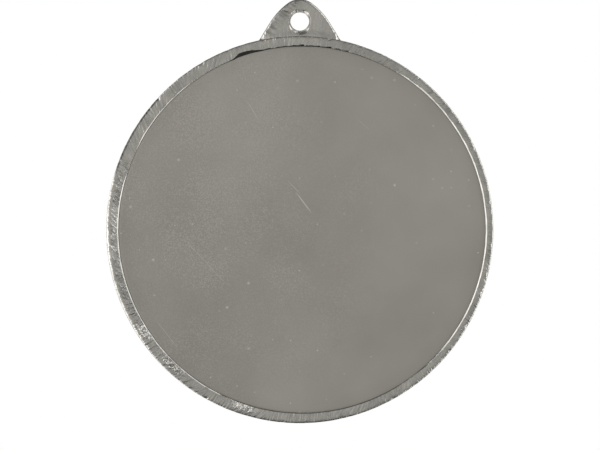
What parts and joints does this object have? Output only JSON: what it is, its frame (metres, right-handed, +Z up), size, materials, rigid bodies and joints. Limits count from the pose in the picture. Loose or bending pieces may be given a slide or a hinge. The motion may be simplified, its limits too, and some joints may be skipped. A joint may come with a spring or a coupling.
{
  "type": "award medal",
  "caption": "Round hanging award medal: a cast blank with rim, laurel wreath and pierced lug, a set-in engraving plate on its reverse and a star emblem on its front.",
  "frame": {"origin": "middle of the bore in the hanging lug, halfway through the medal's thickness", "axes": "+Z up from the disc's centre through the bore, as the medal hangs; +Y out of the front, with the wreath and emblem; -Y out of the reverse, with the engraving plate; +X to the right when the reverse is seen"},
  "size_m": [0.07, 0.003, 0.0767],
  "materials": {
    "plated_casting": "nickel-silver plated zinc alloy casting, filed and tumbled rim",
    "satin_plate": "smooth satin plate for engraving",
    "adhesive_film": "thin transfer adhesive",
    "emblem_metal": "stamped bright aluminium with a grained ground"
  },
  "bodies": {
    "root": {"medal_casting": "plated_casting", "engraving_plate": "satin_plate", "engraving_plate_tape": "adhesive_film", "emblem_disc": "emblem_metal", "emblem_tape": "adhesive_film"}
  },
  "joints": []
}
